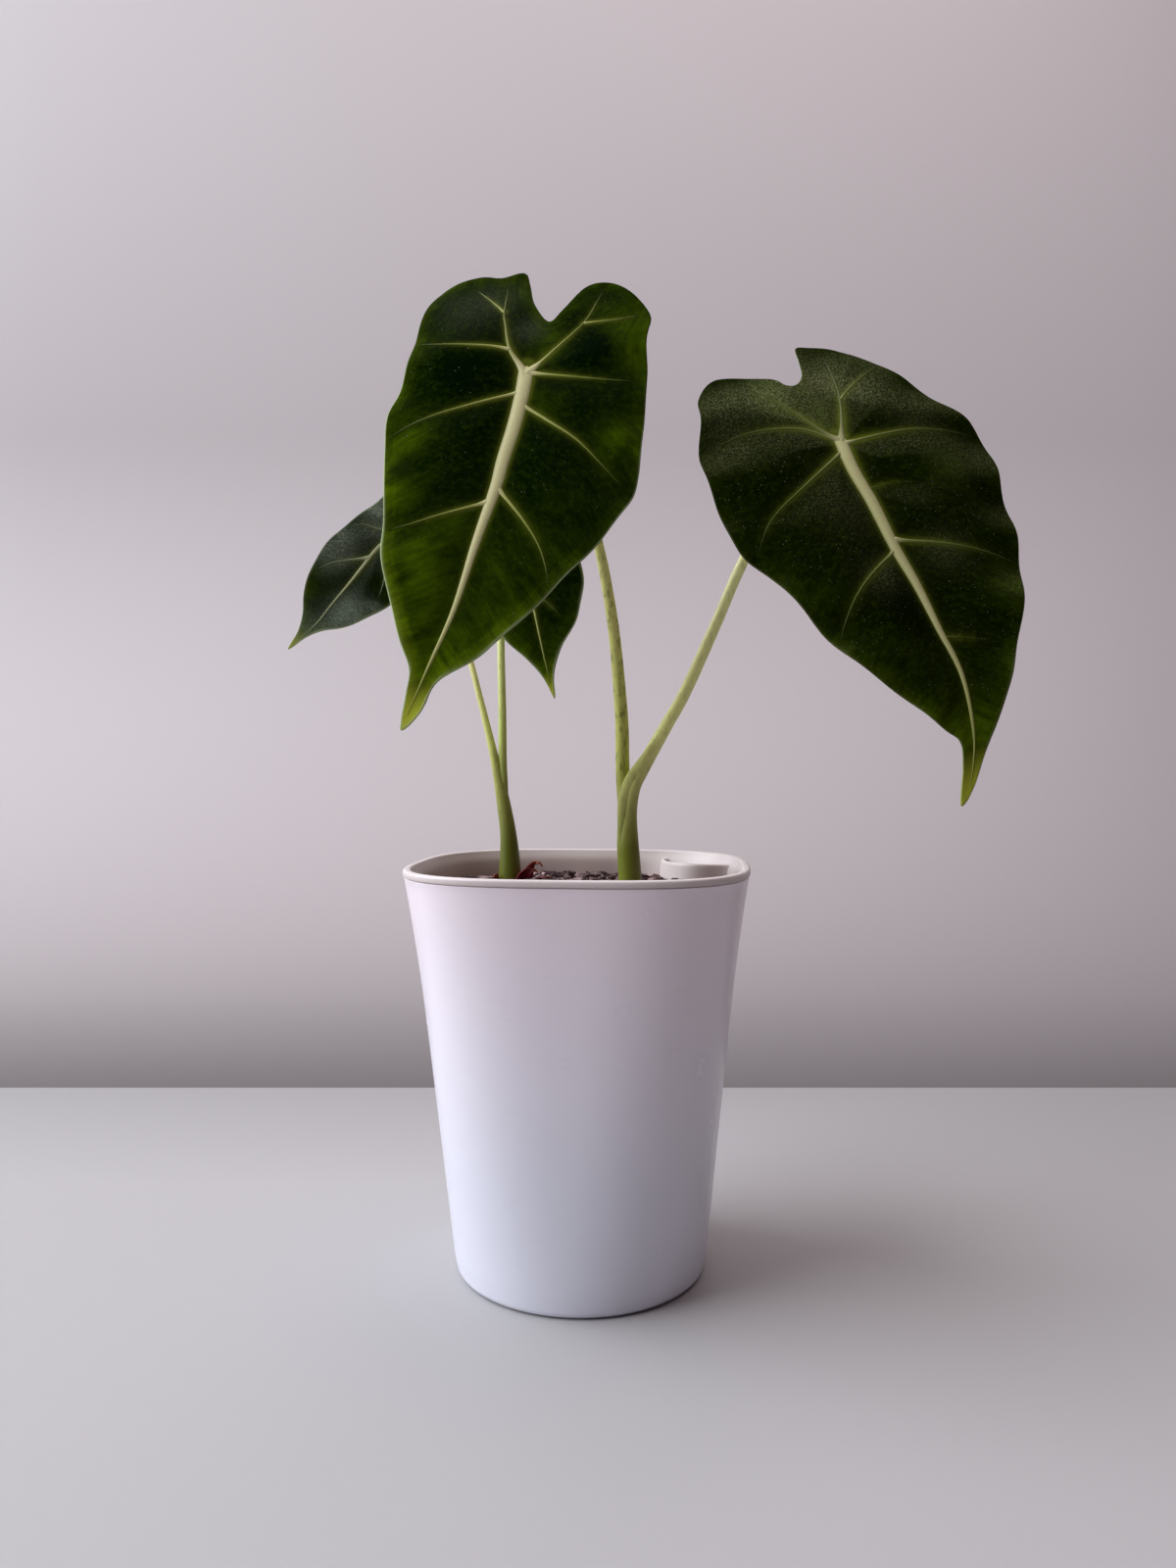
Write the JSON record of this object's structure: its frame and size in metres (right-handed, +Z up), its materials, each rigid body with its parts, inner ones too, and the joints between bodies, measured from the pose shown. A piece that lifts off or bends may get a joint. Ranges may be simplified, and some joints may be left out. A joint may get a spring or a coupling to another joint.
{
  "type": "potted alocasia",
  "caption": "Velvet-leaved alocasia with pale-veined arrow-shaped leaves, growing in a white self-watering pot with a planting liner.",
  "frame": {"origin": "middle of the outer pot's underside", "axes": "+Z up along the pot's axis, -Y towards the side that the two large leaves face, +X towards the right leaf"},
  "size_m": [0.2668, 0.1224, 0.3621],
  "materials": {
    "outer_pot": "moulded white, glossy",
    "planting_liner": "moulded white, satin",
    "soil": null,
    "blade": null,
    "stalk": null,
    "dried_scale": "dry, red-brown and papery"
  },
  "bodies": {
    "root": {"outer_pot": "outer_pot", "planting_liner": "planting_liner", "soil": "soil", "front_leaf_blade": "blade", "front_leaf_stalk_and_ribs": "stalk", "right_leaf_blade": "blade", "right_leaf_stalk_and_ribs": "stalk", "left_leaf_blade": "blade", "left_leaf_stalk_and_ribs": "stalk", "rear_leaf_blade": "blade", "rear_leaf_stalk_and_ribs": "stalk", "dried_bud_scale": "dried_scale"}
  },
  "joints": []
}
